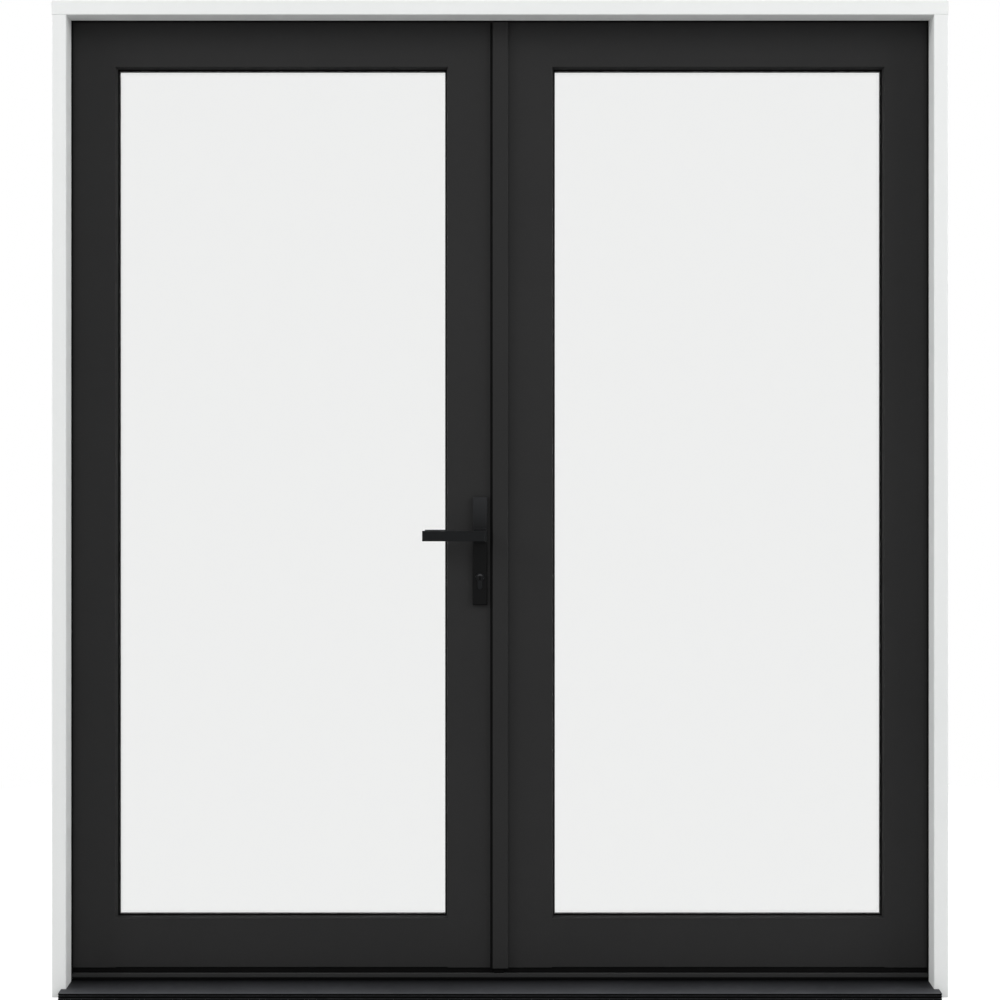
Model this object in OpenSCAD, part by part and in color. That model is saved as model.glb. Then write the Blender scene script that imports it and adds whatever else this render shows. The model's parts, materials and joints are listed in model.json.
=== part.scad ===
// French doors: two glazed panels that open inwards, in a frame with a sill.
// Millimetres. X runs to the right seen from outside, Y runs inwards, Z runs up.
// The origin is on the underside of the sill, in the middle of the frame's width and depth.

/* [Frame] */
// Overall width of the frame
frame_w = 1816; // [1600:1:2000]
// Overall height of the frame
frame_h = 2019; // [1950:1:2200]
// Depth of the jambs from outside to inside
jamb_depth = 116; // [112:1:150]
// Thickness of the jamb beside the panel's edge
jamb_leg = 17; // [16:0.5:22]
// Height of the stop that the panels close on
stop_h = 12; // [11:0.5:15]
// Rounding of the frame's long edges
frame_edge = 2; // [1:0.5:3]
// Width of the groove that holds a seal
kerf_w = 3; // [2:0.5:4]
// Depth of the groove that holds a seal
kerf_d = 7; // [5:0.5:9]
// How far a seal's lip shows past the stop
seal_lip = 3.2; // [2:0.1:3.6]

/* [Sill] */
// How far the sill's nose stands out of the frame
nose_out = 28; // [20:1:40]
// Height of the nose
nose_h = 14.8; // [13:0.1:17]
// Fall of the sill's top, in degrees
sill_fall = 4.3; // [3:0.1:5]
// Side gap between the nose's end and the frame's outer edge
nose_inset = 19; // [17:0.5:25]
// Height of the ledge that carries the threshold
ledge_h = 12; // [11:0.5:13]
// Wall of the hollow sill and threshold
sill_wall = 2.5; // [2:0.1:3]
// Height of the threshold's top
threshold_h = 36; // [33:0.5:42]
// Height of the threshold's front lip
lip_h = 8; // [6:0.5:10]
// How far the lip stands out over the sill
lip_out = 8; // [5:0.5:9]

/* [Panels] */
// Thickness of a panel
panel_t = 57; // [55:0.5:60]
// Gap round a panel's edge
edge_gap = 3; // [2.5:0.1:4]
// Gap between the two panels
meet_gap = 4; // [3:0.1:5]
// Gap between the stop and the panel's face
seal_gap = 8; // [6:0.5:10]
// Gap under the panels, closed by the sweeps
sweep_gap = 11; // [9:0.5:14]
// Face width of the hinge stile
hinge_stile_w = 98; // [90:1:120]
// Face width of the meeting stile
meet_stile_w = 105; // [100:1:125]
// Face width of the top rail
top_rail_w = 102; // [90:1:130]
// Face width of the bottom rail
bottom_rail_w = 101; // [90:1:160]
// Width of the bevel round the glass
bevel_run = 6; // [4:0.5:8]
// Depth of the glass behind the panel's face
glass_depth = 19; // [16:0.5:21]
// Width of the rebate that holds the glass
rebate = 15; // [13:0.5:18]

/* [Glass] */
// Thickness of one pane
pane_t = 4; // [3:0.5:5]
// Space between the panes
pane_space = 14; // [12:0.5:15]
// How far the glass goes in behind the sight line
glass_bite = 11; // [9:0.5:12]
// Width of the spacer bar
spacer_w = 8; // [6:0.5:8.5]
// Width of the gasket that shows round the glass
gasket_w = 3; // [2:0.25:3.5]
// Thickness of the gasket on the glass
gasket_t = 4; // [3:0.25:5]
// How far the inside bead stays behind the sight line
bead_back = 4; // [2:0.5:5]

/* [Astragal] */
// Reach of the astragal over the active panel
astragal_left = 15; // [13:0.5:18]
// Reach of the astragal over the passive panel
astragal_right = 16.5; // [14:0.5:22]
// How far the astragal stands out of the panels
astragal_out = 9; // [7:0.5:12]
// Thickness of the astragal's free edge
astragal_t = 5; // [4:0.5:5.5]
// How far the astragal's seal shows beside it
astragal_lip = 5; // [3:0.5:5]

/* [Hinges] */
// Height of a hinge
hinge_h = 102; // [90:1:125]
// Thickness of a hinge leaf
leaf_t = 2.5; // [2:0.1:3]
// Width of a leaf on the panel's edge
leaf_w = 30; // [26:1:36]
// Distance of the pin from the inside face
pin_out = 7; // [6.9:0.1:9]
// Radius of a knuckle
knuckle_r = 6.5; // [5.5:0.1:6.6]
// Radius of a hinge pin
pin_r = 3; // [2.5:0.1:3.5]
// Height of the top hinge's middle below the panel's top
hinge_from_top = 230; // [200:1:320]
// Height of the low hinge's middle above the panel's bottom
hinge_from_bottom = 280; // [220:1:400]

/* [Lock] */
// Distance of the lever's axis from the panel's edge
backset = 39; // [37:0.5:42]
// Height of the lever's axis
lever_z = 934; // [900:1:1050]
// Distance from the lever's axis down to the cylinder's axis
cylinder_drop = 85; // [83:0.5:92]
// Width of the faceplate on the edge
faceplate_w = 22; // [20:0.5:24]
// Height of the faceplate
faceplate_h = 240; // [230:1:280]
// Thickness of the faceplate
faceplate_t = 3; // [2.5:0.1:3.5]
// Thickness of the lock box
lock_t = 16; // [15.5:0.1:17]
// Wall of the lock box
lock_wall = 1.5; // [1.2:0.1:1.6]
// How far the latch stands out of the panel's edge
latch_out = 11; // [9:0.5:12]
// Travel of the latch
latch_travel = 12; // [11:0.1:12.5]
// Travel of the deadbolt
bolt_travel = 19.8; // [18:0.1:21]
// Radius of the follower's hub
hub_r = 8; // [7.5:0.1:8.2]
// Radius of the crank pins in the lock
crank_r = 2.5; // [2:0.1:2.6]

/* [Handle] */
// Width of a handle plate
plate_w = 30; // [27:0.5:34]
// Height of a handle plate
plate_h = 221; // [200:1:240]
// Thickness of a handle plate
plate_t = 8; // [7:0.5:10]
// Height of the plate's top above the lever's axis
plate_over = 79; // [70:1:90]
// Height of the raised collar on the plate
collar_t = 6; // [4:0.5:8]
// Length of the lever from its axis to its free end
lever_reach = 117; // [100:1:135]
// Length of the lever's blunt end behind its axis
lever_heel = 14.5; // [12:0.5:16]
// Height of the lever's bar
lever_h = 21.3; // [18:0.1:24]
// Thickness of the lever's bar
lever_t = 11; // [9:0.5:13]
// How far the lever stands out of the panel
lever_out = 55; // [50:0.5:62]
// Radius of the lever's round stub in the plate
stub_r = 9; // [8:0.1:9.5]
// Side of the square spindle
spindle_s = 8; // [7:0.1:8.5]

/* [Flush bolts] */
// Radius of a flush bolt
flush_r = 5; // [4:0.1:6]
// Distance of a flush bolt from the panel's edge
flush_in = 19; // [17:0.5:22]
// Length of a flush bolt
flush_len = 160; // [140:1:200]
// How far a flush bolt goes into the frame
flush_grip = 11; // [8:0.5:12]

/* [Fixings] */
// Radius of the fixing holes in the frame
fixing_r = 2.75; // [2.25:0.05:3.25]
// Height of the lowest fixing hole
fixing_low = 120; // [90:1:150]
// Distance of the highest fixing hole from the frame's top
fixing_high = 119; // [90:1:150]
// Place of the head fixing holes from the middle
fixing_head = 450; // [300:1:600]

/* [Fits] */
// Clearance between pieces that slide past each other
slide_gap = 0.3; // [0.2:0.05:0.5]
// Radial clearance of a turning fit
run_gap = 0.05; // [0.03:0.01:0.08]
// Clearance of the lock box in its pocket
pocket_gap = 0.5; // [0.3:0.1:1]
// Clearance of a bolt in its strike
strike_gap = 0.8; // [0.5:0.1:1.2]

/* [Hidden] */
$fn = 48;
half_w = frame_w / 2;
face_w = jamb_leg + stop_h;
stop_x = half_w - face_w;
leg_x = half_w - jamb_leg;
y_out = -jamb_depth / 2;
y_in = jamb_depth / 2;
panel_y = y_in - panel_t;
mid_y = (panel_y + y_in) / 2;
stop_y = panel_y - seal_gap;
head_stop_z = frame_h - face_w;
head_leg_z = frame_h - jamb_leg;
edge_x = leg_x - edge_gap;
meet_x = meet_gap / 2;
panel_w = edge_x - meet_x;
panel_z0 = threshold_h + sweep_gap;
panel_z1 = head_leg_z - edge_gap;
panel_h = panel_z1 - panel_z0;
nose_y = y_out - nose_out;
nose_x = half_w - nose_inset;
ledge_y = panel_y + 3;
glass_y = panel_y + glass_depth;
unit_t = 2 * pane_t + pane_space;
bead_y = glass_y + unit_t;
pin_x = leg_x - edge_gap / 2;
pin_y = y_in + pin_out;
leaf_pitch = hinge_h / 5;
lever_x = -(meet_x + backset);
cylinder_z = lever_z - cylinder_drop;
plate_x0 = lever_x - plate_w / 2;
plate_z1 = lever_z + plate_over;
plate_z0 = plate_z1 - plate_h;
face_x = -meet_x - faceplate_t;
lock_x0 = lever_x - 22;
lock_y0 = mid_y - lock_t / 2;
lock_z0 = cylinder_z - 32;
lock_z1 = lever_z + 40;
faceplate_z0 = lever_z - 0.6 * faceplate_h;
latch_z0 = lever_z + 8;
latch_z1 = lever_z + 26;
latch_y0 = mid_y - 5.5;
latch_y1 = mid_y + 5.5;
latch_tip = -meet_x + latch_out;
latch_crank = latch_travel / sin(45);
bolt_z0 = cylinder_z + 25;
bolt_z1 = cylinder_z + 47;
bolt_y0 = mid_y - 6;
bolt_y1 = mid_y + 6;
bolt_tip = -meet_x - 0.5;
bolt_crank = bolt_travel / 2 / sin(45);
bolt_slot_x = lever_x - bolt_travel / 2;
tail_y0 = mid_y - 1.5;
tail_t = 3;
arm_y0 = tail_y0 + tail_t + 0.5;
cyl_y0 = panel_y - plate_t - 3;
cyl_y1 = y_in + plate_t + 3;
flush_x = meet_x + flush_in;
flush_y = y_in - 14;
flush_top_z = panel_z1 - 2;
flush_low_z = panel_z0 + 2;
flush_plate_z = flush_len - 80;
fixing_y = panel_y + 14;
fixing_mid = (frame_h - fixing_high - fixing_low) / 3;

white = [0.9, 0.91, 0.9];
charcoal = [0.18, 0.18, 0.18];
black = [0.09, 0.09, 0.1];
steel = [0.6, 0.6, 0.62];
clear = [0.75, 0.85, 0.88, 0.4];

function arc(c, r, a, b, n = 4) =
    [for (i = [0:n]) c + r * [cos(a + (b - a) * i / n), sin(a + (b - a) * i / n)]];
function sill_z(y) = nose_h + (y - nose_y) * tan(sill_fall);
function hinge_z(i) =
    let (top = panel_z1 - hinge_from_top, low = panel_z0 + hinge_from_bottom)
    i == 0 ? top : i == 2 ? low : (top + low) / 2;
function pocket_u(w) = w + bevel_run - rebate;

// A profile in Y and Z is drawn out along X
module along_x(x0, x1) {
    translate([x0, 0, 0]) rotate([90, 0, 90]) linear_extrude(x1 - x0) children();
}

// A profile in X and Z is drawn out along Y
module along_y(y0, y1) {
    translate([0, y1, 0]) rotate([90, 0, 0]) linear_extrude(y1 - y0) children();
}

module box(x0, x1, y0, y1, z0, z1) {
    translate([x0, y0, z0]) cube([x1 - x0, y1 - y0, z1 - z0]);
}

module rod_y(x, z, r, y0, y1) {
    translate([x, y1, z]) rotate([90, 0, 0]) cylinder(r = r, h = y1 - y0);
}

module on_right() {
    mirror([1, 0, 0]) children();
}

// Section of the frame: distance in from the outer edge, and depth
module frame_profile() {
    e = frame_edge;
    polygon(concat(
        arc([e, y_out + e], e, 180, 270),
        arc([face_w - e, y_out + e], e, 270, 360),
        [[face_w, stop_y], [jamb_leg + 7, stop_y], [jamb_leg + 7, stop_y - kerf_d],
            [jamb_leg + 7 - kerf_w, stop_y - kerf_d], [jamb_leg + 7 - kerf_w, stop_y], [jamb_leg, stop_y]],
        arc([jamb_leg - 1, y_in - 1], 1, 0, 90),
        arc([e, y_in - e], e, 90, 180)));
}

// Section of a frame seal: the barb in its groove, the bulb and the lip beside the stop
module seal_profile() {
    front = panel_y - slide_gap;
    barb = jamb_leg + 7 - kerf_w;
    polygon(concat(
        [[barb + 0.2, stop_y], [barb + 0.2, stop_y - kerf_d + 0.5],
            [barb + kerf_w - 0.2, stop_y - kerf_d + 0.5], [barb + kerf_w - 0.2, stop_y],
            [face_w + seal_lip - 0.8, stop_y]],
        arc([face_w + seal_lip - 1.8, stop_y + 1.8], 1.8, -50, 20),
        arc([face_w - 4, front - 4], 4, 10, 90),
        arc([jamb_leg + 5, front - 3], 3, 90, 180),
        [[jamb_leg + 2, stop_y]]));
}

module fixing_hole(z) {
    translate([-half_w - 1, fixing_y, z]) rotate([0, 90, 0]) cylinder(r = fixing_r, h = jamb_leg + 2);
    translate([-leg_x - 3, fixing_y, z]) rotate([0, 90, 0])
        cylinder(r1 = fixing_r, r2 = fixing_r + 3.2, h = 3.2);
}

module plain_jamb() {
    difference() {
        translate([-half_w, 0, 0]) linear_extrude(head_leg_z) frame_profile();
        box(-half_w - 1, -stop_x + 1, y_out - 1, stop_y, head_stop_z, head_leg_z + 1);
        for (i = [0:2])
            box(-leg_x - leaf_t, -leg_x + 1, y_in - leaf_w, y_in + 1, hinge_z(i) - hinge_h / 2,
                hinge_z(i) + hinge_h / 2);
        for (i = [0:3]) fixing_hole(fixing_low + i * fixing_mid);
    }
}

module head_jamb() color(white) difference() {
    translate([-half_w, 0, frame_h]) rotate([0, 90, 0]) linear_extrude(frame_w) frame_profile();
    translate([flush_x, flush_y, head_leg_z - 1])
        cylinder(r = flush_r + 1.5, h = flush_grip + 3);
    for (s = [-1, 1]) translate([s * fixing_head, fixing_y, 0]) {
        translate([0, 0, head_leg_z - 1]) cylinder(r = fixing_r, h = jamb_leg + 2);
        translate([0, 0, head_leg_z - 0.2]) cylinder(r1 = fixing_r + 3.2, r2 = fixing_r, h = 3.2);
    }
}

module left_jamb() color(white) plain_jamb();

module right_jamb() color(white) on_right() plain_jamb();

// Outline of the sill: two grooves on the nose, the sloping top and the ledge
module sill() color(black) {
    top = ledge_y - 0.01;
    w = sill_wall;
    difference() {
        along_x(-leg_x, leg_x) polygon(concat(
            [[nose_y + 0.6, 0], [nose_y, 0.6], [nose_y, 3.8], [nose_y + 3, 3.8], [nose_y + 3, 7.2],
                [nose_y, 7.2], [nose_y, 9.6], [nose_y + 3, 9.6], [nose_y + 3, nose_h - 2.2],
                [nose_y, nose_h - 2.2]],
            arc([nose_y + 1.2, nose_h - 1.2], 1.2, 180, 90),
            [[ledge_y, sill_z(ledge_y)], [ledge_y, ledge_h], [y_in, ledge_h], [y_in, 0]]));
        for (s = [-1, 1]) {
            box(s > 0 ? nose_x : -leg_x - 1, s > 0 ? leg_x + 1 : -nose_x, nose_y - 1, y_out, -1, 60);
            box(s > 0 ? stop_x : -leg_x - 1, s > 0 ? leg_x + 1 : -stop_x, y_out - 0.1, stop_y, -1, 60);
        }
        along_x(-half_w, half_w) polygon([[y_out + 4, w], [stop_y - 4, w],
            [stop_y - 4, sill_z(stop_y - 4) - w], [y_out + 4, sill_z(y_out + 4) - w]]);
        along_x(-half_w, half_w) polygon([[ledge_y + w, w], [y_in - w, w], [y_in - w, ledge_h - w],
            [ledge_y + w, ledge_h - w]]);
    }
}

module threshold() color(black) {
    w = sill_wall;
    lip_y = ledge_y - lip_out;
    difference() {
        along_x(-leg_x, leg_x) polygon(concat(
            [[ledge_y, ledge_h], [ledge_y, threshold_h - lip_h], [lip_y, threshold_h - lip_h]],
            arc([lip_y + 1.2, threshold_h - 1.2], 1.2, 180, 90),
            arc([y_in - 3, threshold_h - 3], 3, 90, 0),
            [[y_in, ledge_h]]));
        along_x(-half_w, half_w) polygon([[ledge_y + w, ledge_h + w], [y_in - w, ledge_h + w],
            [y_in - w, threshold_h - 4], [ledge_y + w, threshold_h - 4]]);
        translate([flush_x, flush_y, threshold_h - 6]) cylinder(r = flush_r + 1.5, h = 8);
    }
}

module head_seal() color(black)
    translate([-leg_x + 0.5, 0, frame_h]) rotate([0, 90, 0]) linear_extrude(2 * leg_x - 1) seal_profile();

module side_seal() {
    z0 = threshold_h + slide_gap;
    translate([-half_w, 0, z0]) linear_extrude(head_stop_z - seal_lip - slide_gap - z0) seal_profile();
}

module left_seal() color(black) side_seal();

module right_seal() color(black) on_right() side_seal();

// Screw holes through a hinge leaf that lies at x from x0, countersunk towards side s
module leaf_holes(x0, s) {
    for (k = [0.12, 0.37, 0.63, 0.88]) {
        y = -pin_out - (k == 0.12 || k == 0.88 ? 10 : 21);
        translate([x0 - 1, y, k * hinge_h]) rotate([0, 90, 0]) cylinder(r = 2.4, h = leaf_t + 2, $fn = 24);
        translate([s > 0 ? x0 + leaf_t - 1.6 : x0 - 0.4, y, k * hinge_h]) rotate([0, 90, 0])
            cylinder(r1 = s > 0 ? 2.4 : 4.4, r2 = s > 0 ? 4.4 : 2.4, h = 2, $fn = 24);
    }
}

// One hinge leaf about its pin: side -1 is the frame's leaf, side 1 the panel's leaf
module hinge_leaf(i, side) {
    x0 = side < 0 ? -edge_gap / 2 - leaf_t : edge_gap / 2;
    gap = slide_gap / 2;
    translate([-pin_x, pin_y, hinge_z(i) - hinge_h / 2]) difference() {
        union() {
            translate([x0, -pin_out - leaf_w, 0]) cube([leaf_t, pin_out + leaf_w, hinge_h]);
            for (k = side < 0 ? [0, 2, 4] : [1, 3])
                translate([0, 0, k * leaf_pitch + gap]) cylinder(r = knuckle_r, h = leaf_pitch - 2 * gap);
        }
        for (k = side < 0 ? [1, 3] : [0, 2, 4])
            translate([0, 0, k * leaf_pitch - gap]) cylinder(r = knuckle_r + 0.4, h = leaf_pitch + 2 * gap);
        translate([0, 0, -1]) cylinder(r = pin_r + run_gap, h = hinge_h + 2);
        leaf_holes(x0, -side);
    }
}

module hinge_pins() {
    gap = slide_gap / 2;
    for (i = [0:2]) translate([-pin_x, pin_y, hinge_z(i) - hinge_h / 2]) {
        translate([0, 0, -3]) cylinder(r = pin_r, h = hinge_h + 6);
        translate([0, 0, -4]) cylinder(r = pin_r + 2, h = 4 + gap);
        translate([0, 0, hinge_h - gap]) cylinder(r = pin_r + 2, h = 4 + gap);
    }
}

module left_top_frame_leaf() color(black) hinge_leaf(0, -1);

module left_mid_frame_leaf() color(black) hinge_leaf(1, -1);

module left_low_frame_leaf() color(black) hinge_leaf(2, -1);

module right_top_frame_leaf() color(black) on_right() hinge_leaf(0, -1);

module right_mid_frame_leaf() color(black) on_right() hinge_leaf(1, -1);

module right_low_frame_leaf() color(black) on_right() hinge_leaf(2, -1);

module left_top_panel_leaf() color(black) hinge_leaf(0, 1);

module left_mid_panel_leaf() color(black) hinge_leaf(1, 1);

module left_low_panel_leaf() color(black) hinge_leaf(2, 1);

module right_top_panel_leaf() color(black) on_right() hinge_leaf(0, 1);

module right_mid_panel_leaf() color(black) on_right() hinge_leaf(1, 1);

module right_low_panel_leaf() color(black) on_right() hinge_leaf(2, 1);

module left_hinge_pins() color(black) hinge_pins();

module right_hinge_pins() color(black) on_right() hinge_pins();

// Section of a stile or rail: width from the panel's edge, and depth
module member_profile(w) {
    s = w + bevel_run;
    polygon([[1.5, panel_y], [w, panel_y], [s - gasket_w, glass_y - gasket_t - 1], [s - gasket_w, glass_y],
        [s - rebate, glass_y], [s - rebate, y_in], [1.5, y_in], [0, y_in - 1.5], [0, panel_y + 1.5]]);
}

module bead_profile(w) {
    u = pocket_u(w);
    s = w + bevel_run - bead_back;
    polygon([[u, bead_y], [s, bead_y], [s, bead_y + 3], [s - 1, bead_y + 4], [s - 6, y_in], [u, y_in]]);
}

module blank_hinge_stile() {
    translate([-edge_x, 0, panel_z0]) linear_extrude(panel_h) member_profile(hinge_stile_w);
}

module blank_meet_stile() {
    translate([-meet_x, 0, panel_z0]) mirror([1, 0, 0]) linear_extrude(panel_h) member_profile(meet_stile_w);
}

module plain_hinge_stile() difference() {
    blank_hinge_stile();
    for (i = [0:2])
        box(-edge_x - 1, -edge_x + leaf_t, y_in - leaf_w, y_in + 1, hinge_z(i) - hinge_h / 2,
            hinge_z(i) + hinge_h / 2);
}

// A rail runs to the stiles' rebates and is coped over the bevels of the stiles
rail_x0 = -edge_x + pocket_u(hinge_stile_w);
rail_x1 = -meet_x - pocket_u(meet_stile_w);

module plain_top_rail() difference() {
    translate([rail_x0, 0, panel_z1]) rotate([0, 90, 0]) linear_extrude(rail_x1 - rail_x0)
        member_profile(top_rail_w);
    blank_hinge_stile();
    blank_meet_stile();
}

module plain_bottom_rail() difference() {
    translate([rail_x1, 0, panel_z0]) rotate([0, -90, 0]) linear_extrude(rail_x1 - rail_x0)
        member_profile(bottom_rail_w);
    blank_hinge_stile();
    blank_meet_stile();
}

glass_x0 = -edge_x + hinge_stile_w + bevel_run - glass_bite;
glass_x1 = -meet_x - meet_stile_w - bevel_run + glass_bite;
glass_z0 = panel_z0 + bottom_rail_w + bevel_run - glass_bite;
glass_z1 = panel_z1 - top_rail_w - bevel_run + glass_bite;

module pane(y0) box(glass_x0, glass_x1, y0, y0 + pane_t, glass_z0, glass_z1);

module plain_spacer() difference() {
    y0 = glass_y + pane_t;
    box(glass_x0 + 2, glass_x1 - 2, y0, y0 + pane_space, glass_z0 + 2, glass_z1 - 2);
    box(glass_x0 + 2 + spacer_w, glass_x1 - 2 - spacer_w, y0 - 1, y0 + pane_space + 1,
        glass_z0 + 2 + spacer_w, glass_z1 - 2 - spacer_w);
}

bead_z0 = panel_z0 + pocket_u(bottom_rail_w);
bead_z1 = panel_z1 - pocket_u(top_rail_w);

module hinge_bead() {
    translate([-edge_x, 0, bead_z0]) linear_extrude(bead_z1 - bead_z0) bead_profile(hinge_stile_w);
}

module meet_bead() {
    translate([-meet_x, 0, bead_z0]) mirror([1, 0, 0]) linear_extrude(bead_z1 - bead_z0)
        bead_profile(meet_stile_w);
}

module plain_beads() {
    hinge_bead();
    meet_bead();
    difference() {
        union() {
            translate([rail_x0, 0, panel_z1]) rotate([0, 90, 0]) linear_extrude(rail_x1 - rail_x0)
                bead_profile(top_rail_w);
            translate([rail_x1, 0, panel_z0]) rotate([0, -90, 0]) linear_extrude(rail_x1 - rail_x0)
                bead_profile(bottom_rail_w);
        }
        translate([0.1, 0, 0]) hinge_bead();
        hinge_bead();
        translate([-0.1, 0, 0]) meet_bead();
        meet_bead();
    }
}

// The gasket is a ring of rubber on the glass beside the bevel, with a thinner lip inside
module plain_gasket() {
    x0 = -edge_x + hinge_stile_w + bevel_run;
    x1 = -meet_x - meet_stile_w - bevel_run;
    z0 = panel_z0 + bottom_rail_w + bevel_run;
    z1 = panel_z1 - top_rail_w - bevel_run;
    y0 = glass_y - gasket_t;
    difference() {
        box(x0 - gasket_w, x1 + gasket_w, y0, glass_y, z0 - gasket_w, z1 + gasket_w);
        box(x0, x1, y0 - 1, glass_y + 1, z0, z1);
        box(x0 - 1, x1 + 1, y0 - 1, y0 + 1.5, z0 - 1, z1 + 1);
    }
}

// The sweep is a strip with three fins that end just above the threshold
module plain_sweep() {
    y = panel_y + 2;
    z = threshold_h + slide_gap;
    t = panel_z0 - 3;
    along_x(-edge_x + 1, -meet_x - 1) polygon([[y, panel_z0], [y, z], [y + 2, z], [y + 3, t], [y + 8, t],
        [y + 9, z], [y + 11, z], [y + 12, t], [y + 17, t], [y + 18, z], [y + 20, z], [y + 20, panel_z0]]);
}

// The profile of a lock cylinder: a round part over a narrow lobe
module cylinder_shape(c, y0, y1) {
    rod_y(lever_x, cylinder_z, 8.5 + c, y0, y1);
    box(lever_x - 5 - c, lever_x + 5 + c, y0, y1, cylinder_z - 19.5, cylinder_z);
    rod_y(lever_x, cylinder_z - 19.5, 5 + c, y0, y1);
}

module active_hinge_stile() color(charcoal) plain_hinge_stile();

module active_lock_stile() color(charcoal) difference() {
    g = pocket_gap;
    blank_meet_stile();
    box(face_x, 0, mid_y - faceplate_w / 2, mid_y + faceplate_w / 2, faceplate_z0,
        faceplate_z0 + faceplate_h);
    box(lock_x0 - g, face_x + 1, lock_y0 - g, lock_y0 + lock_t + g, lock_z0 - g, lock_z1 + g);
    rod_y(lever_x, lever_z, 10, panel_y - 1, y_in + 1);
    cylinder_shape(g, panel_y - 1, y_in + 1);
}

module active_top_rail() color(charcoal) plain_top_rail();

module active_bottom_rail() color(charcoal) plain_bottom_rail();

module active_outer_pane() color(clear) pane(glass_y);

module active_inner_pane() color(clear) pane(glass_y + pane_t + pane_space);

module active_spacer() color(black) plain_spacer();

module active_glazing_beads() color(charcoal) plain_beads();

module active_gasket() color(black) plain_gasket();

module active_sweep() color(black) plain_sweep();

module latch_opening(c, x0, x1) {
    box(x0, x1, latch_y0 - c, latch_y1 + c, latch_z0 - c, latch_z1 + c);
}

module bolt_opening(c, x0, x1) {
    box(x0, x1, bolt_y0 - c, bolt_y1 + c, bolt_z0 - c, bolt_z1 + c);
}

// Two screw holes in a plate on a panel's edge, countersunk towards the gap between the panels
module edge_holes(x0, t, s, y, z0, z1) {
    for (z = [z0, z1]) {
        translate([x0 - 1, y, z]) rotate([0, 90, 0]) cylinder(r = 2.2, h = t + 2, $fn = 24);
        translate([s > 0 ? x0 + t - 1.6 : x0 - 0.4, y, z]) rotate([0, 90, 0])
            cylinder(r1 = s > 0 ? 2.2 : 4.2, r2 = s > 0 ? 4.2 : 2.2, h = 2, $fn = 24);
    }
}

module lock_faceplate() color(steel) difference() {
    box(face_x, -meet_x, mid_y - faceplate_w / 2, mid_y + faceplate_w / 2, faceplate_z0,
        faceplate_z0 + faceplate_h);
    latch_opening(slide_gap, face_x - 1, 0);
    bolt_opening(slide_gap, face_x - 1, 0);
    edge_holes(face_x, faceplate_t, 1, mid_y, faceplate_z0 + 10, faceplate_z0 + faceplate_h - 10);
}

module lock_box() color(steel) difference() {
    w = lock_wall;
    box(lock_x0, face_x, lock_y0, lock_y0 + lock_t, lock_z0, lock_z1);
    box(lock_x0 + w, face_x - w, lock_y0 + w, lock_y0 + lock_t - w, lock_z0 + w, lock_z1 - w);
    rod_y(lever_x, lever_z, hub_r + run_gap, lock_y0 - 1, lock_y0 + lock_t + 1);
    cylinder_shape(run_gap, lock_y0 - 1, lock_y0 + lock_t + 1);
    latch_opening(slide_gap, face_x - w - 1, 0);
    bolt_opening(slide_gap, face_x - w - 1, 0);
}

// Cuts a 45 degree chamfer c along the four front edges of a block that faces outside at y
module front_chamfers(x0, x1, z0, z1, y, c) {
    for (x = [x0, x1]) translate([x, y, z0 - 1]) rotate([0, 0, 45])
        translate([-c * 0.7071, -c * 0.7071, 0]) cube([c * 1.4142, c * 1.4142, z1 - z0 + 2]);
    for (z = [z0, z1]) translate([x0 - 1, y, z]) rotate([45, 0, 0])
        translate([0, -c * 0.7071, -c * 0.7071]) cube([x1 - x0 + 2, c * 1.4142, c * 1.4142]);
}

module plain_plate() difference() {
    y0 = panel_y - plate_t;
    x1 = plate_x0 + plate_w;
    cx0 = plate_x0 + 1;
    cx1 = x1 - 1;
    cz0 = lever_z - 15.5;
    cz1 = lever_z + 15.5;
    union() {
        difference() {
            box(plate_x0, x1, y0, panel_y, plate_z0, plate_z1);
            front_chamfers(plate_x0, x1, plate_z0, plate_z1, y0, 1.5);
        }
        difference() {
            box(cx0, cx1, y0 - collar_t, y0 + 2, cz0, cz1);
            front_chamfers(cx0, cx1, cz0, cz1, y0 - collar_t, 1.5);
        }
    }
    rod_y(lever_x, lever_z, stub_r + run_gap, y0 - collar_t - 1, panel_y + 1);
    cylinder_shape(slide_gap, y0 - 1, panel_y + 1);
}

// Pieces on the inside are the outside ones, turned over about the panel's middle
module on_inside() {
    translate([0, 2 * mid_y, 0]) mirror([0, 1, 0]) children();
}

module exterior_plate() color(black) plain_plate();

module interior_plate() color(black) on_inside() plain_plate();

module plain_lever() {
    y0 = panel_y - lever_out;
    y1 = panel_y - plate_t - collar_t - slide_gap;
    xa = lever_x - lever_reach;
    xb = lever_x + lever_heel;
    z0 = lever_z - lever_h / 2;
    difference() {
        union() {
            difference() {
                translate([0, 0, z0]) linear_extrude(lever_h) polygon(concat(
                    [[xa, y0 + lever_t], [xa, y0 + 1.5], [xa + 1.5, y0], [xb - 5, y0], [xb, y0 + 5],
                        [xb, y0 + lever_t], [lever_x + 10, y0 + lever_t + 3], [lever_x + 10, y1],
                        [lever_x - 10, y1], [lever_x - 10, y0 + lever_t + 6]],
                    arc([lever_x - 16, y0 + lever_t + 6], 6, 0, -90)));
                for (z = [z0, z0 + lever_h]) translate([xa - 1, y0, z]) rotate([45, 0, 0])
                    translate([0, -0.8, -0.8]) cube([xb - xa + 2, 1.6, 1.6]);
            }
            rod_y(lever_x, lever_z, stub_r, y1 - 1, panel_y - 1);
        }
        box(lever_x - spindle_s / 2 - 0.1, lever_x + spindle_s / 2 + 0.1, y0 + lever_t + 12, panel_y + 1,
            lever_z - spindle_s / 2 - 0.1, lever_z + spindle_s / 2 + 0.1);
    }
}

module exterior_lever() color(black) plain_lever();

module interior_lever() color(black) on_inside() plain_lever();

module spindle() color(steel) {
    y0 = panel_y - lever_out + lever_t + 12;
    s = spindle_s / 2;
    box(lever_x - s, lever_x + s, y0, 2 * mid_y - y0, lever_z - s, lever_z + s);
}

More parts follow.
